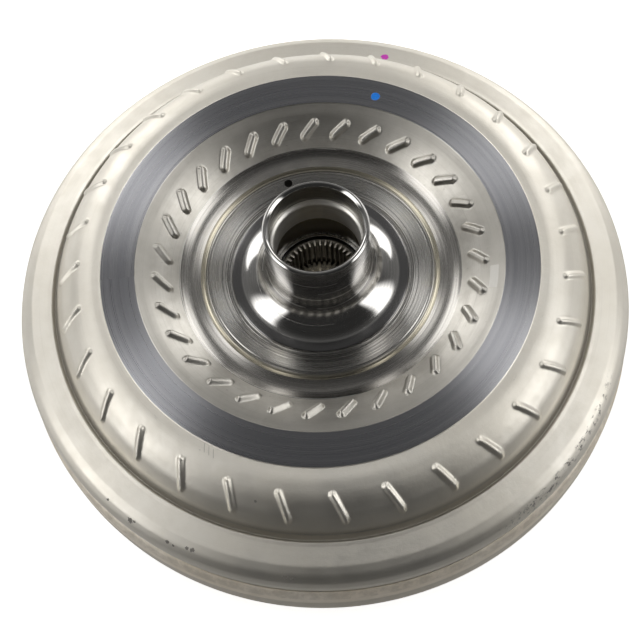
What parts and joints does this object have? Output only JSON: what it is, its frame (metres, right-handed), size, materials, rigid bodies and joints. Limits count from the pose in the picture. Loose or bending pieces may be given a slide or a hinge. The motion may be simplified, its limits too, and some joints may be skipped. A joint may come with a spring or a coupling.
{
  "type": "torque converter",
  "caption": "Welded hydraulic torque converter: ribbed round housing with a hollow pump hub, bladed turbine, freewheeling stator, lock-up piston and spring damper inside.",
  "frame": {"origin": "on the axis of rotation, in the plane of the six drive lugs' mounting faces, which is the lowest plane of the part", "axes": "+Z along the axis of rotation, from the crank side towards the open end of the pump hub; +X across, through the gap between two drive lugs"},
  "size_m": [0.2938, 0.2938, 0.116],
  "materials": {
    "plated_shell": "satin, fine turned scratches",
    "polished_hub": "mirror ground",
    "machined_steel": "turned",
    "pressed_steel": "satin pressed sheet",
    "oiled_steel": "machined, oil film",
    "bearing_steel": "ground",
    "spring_steel": "drawn wire",
    "cast_aluminium": "as cast",
    "friction_paper": "matt wet-friction paper",
    "seal_polymer": "smooth",
    "bronze": "bronze, satin"
  },
  "bodies": {
    "housing": {"front_cover": "plated_shell", "crank_pilot": "machined_steel", "drive_lug_1": "machined_steel", "drive_lug_2": "machined_steel", "drive_lug_3": "machined_steel", "drive_lug_4": "machined_steel", "drive_lug_5": "machined_steel", "drive_lug_6": "machined_steel", "impeller_shell": "plated_shell", "impeller_vane_ring": "pressed_steel", "impeller_hub": "polished_hub", "upper_bearing_race": "bearing_steel"},
    "turbine": {"turbine_shell": "pressed_steel", "turbine_vane_ring": "pressed_steel", "turbine_hub": "oiled_steel", "turbine_rivet_1": "pressed_steel", "turbine_rivet_2": "pressed_steel", "turbine_rivet_3": "pressed_steel", "turbine_rivet_4": "pressed_steel", "turbine_rivet_5": "pressed_steel", "turbine_rivet_6": "pressed_steel", "damper_driven_ring": "pressed_steel", "front_thrust_washer": "bronze", "hub_seal_ring": "seal_polymer", "lower_bearing_race": "bearing_steel"},
    "damper": {"damper_retainer": "pressed_steel", "damper_spring_1": "spring_steel", "damper_spring_2": "spring_steel", "damper_spring_3": "spring_steel", "damper_spring_4": "spring_steel", "damper_spring_5": "spring_steel", "damper_spring_6": "spring_steel"},
    "piston": {"lockup_piston": "pressed_steel", "friction_lining": "friction_paper"},
    "stator": {"stator_wheel": "cast_aluminium", "clutch_outer_race": "oiled_steel", "clutch_spring_1": "spring_steel", "clutch_spring_2": "spring_steel", "clutch_spring_3": "spring_steel", "clutch_spring_4": "spring_steel", "clutch_spring_5": "spring_steel", "clutch_spring_6": "spring_steel", "clutch_cap": "pressed_steel", "clutch_snap_ring": "pressed_steel"},
    "inner_race": {"clutch_inner_race": "oiled_steel"},
    "upper_cage": {"upper_bearing_cage": "bearing_steel"},
    "lower_cage": {"lower_bearing_cage": "bearing_steel"},
    "roller_1": {"clutch_roller_1": "bearing_steel"},
    "roller_2": {"clutch_roller_2": "bearing_steel"},
    "roller_3": {"clutch_roller_3": "bearing_steel"},
    "roller_4": {"clutch_roller_4": "bearing_steel"},
    "roller_5": {"clutch_roller_5": "bearing_steel"},
    "roller_6": {"clutch_roller_6": "bearing_steel"}
  },
  "joints": [
    {"name": "turbine_spin", "type": "hinge", "parent": "housing", "child": "turbine", "pos_m": [0, 0, 0.04], "axis": [0, 0, 1], "continuous": true},
    {"name": "damper_twist", "type": "hinge", "parent": "turbine", "child": "damper", "pos_m": [0, 0, 0.035], "axis": [0, 0, 1], "range_deg": [0, 7], "stiffness_Nm_per_rad": 800, "deforming": ["damper_spring_1", "damper_spring_2", "damper_spring_3", "damper_spring_4", "damper_spring_5", "damper_spring_6"]},
    {"name": "piston_apply", "type": "slide", "parent": "damper", "child": "piston", "axis": [0, 0, -1], "range_m": [0, 0.0012], "stiffness_N_per_m": 20000},
    {"name": "stator_spin", "type": "hinge", "parent": "housing", "child": "stator", "pos_m": [0, 0, 0.06], "axis": [0, 0, 1], "continuous": true},
    {"name": "freewheel", "type": "hinge", "parent": "stator", "child": "inner_race", "pos_m": [0, 0, 0.06], "axis": [0, 0, 1], "continuous": true},
    {"name": "upper_cage_spin", "type": "hinge", "parent": "housing", "child": "upper_cage", "pos_m": [0, 0, 0.06895], "axis": [0, 0, 1], "continuous": true},
    {"name": "lower_cage_spin", "type": "hinge", "parent": "housing", "child": "lower_cage", "pos_m": [0, 0, 0.0499], "axis": [0, 0, 1], "continuous": true},
    {"name": "roller_1_spin", "type": "hinge", "parent": "stator", "child": "roller_1", "pos_m": [0.01642, 0.01479, 0.0594], "axis": [0, 0, 1], "continuous": true},
    {"name": "roller_2_spin", "type": "hinge", "parent": "stator", "child": "roller_2", "pos_m": [-0.00459, 0.02162, 0.0594], "axis": [0, 0, 1], "continuous": true},
    {"name": "roller_3_spin", "type": "hinge", "parent": "stator", "child": "roller_3", "pos_m": [-0.02102, 0.00683, 0.0594], "axis": [0, 0, 1], "continuous": true},
    {"name": "roller_4_spin", "type": "hinge", "parent": "stator", "child": "roller_4", "pos_m": [-0.01642, -0.01479, 0.0594], "axis": [0, 0, 1], "continuous": true},
    {"name": "roller_5_spin", "type": "hinge", "parent": "stator", "child": "roller_5", "pos_m": [0.00459, -0.02162, 0.0594], "axis": [0, 0, 1], "continuous": true},
    {"name": "roller_6_spin", "type": "hinge", "parent": "stator", "child": "roller_6", "pos_m": [0.02102, -0.00683, 0.0594], "axis": [0, 0, 1], "continuous": true}
  ],
  "couplings": [
    {"joint": "upper_cage_spin", "follows": "stator_spin", "ratio": 0.5},
    {"joint": "lower_cage_spin", "follows": "turbine_spin", "ratio": 0.5},
    {"joint": "roller_1_spin", "follows": "freewheel", "ratio": -6.5},
    {"joint": "roller_2_spin", "follows": "freewheel", "ratio": -6.5},
    {"joint": "roller_3_spin", "follows": "freewheel", "ratio": -6.5},
    {"joint": "roller_4_spin", "follows": "freewheel", "ratio": -6.5},
    {"joint": "roller_5_spin", "follows": "freewheel", "ratio": -6.5},
    {"joint": "roller_6_spin", "follows": "freewheel", "ratio": -6.5}
  ]
}
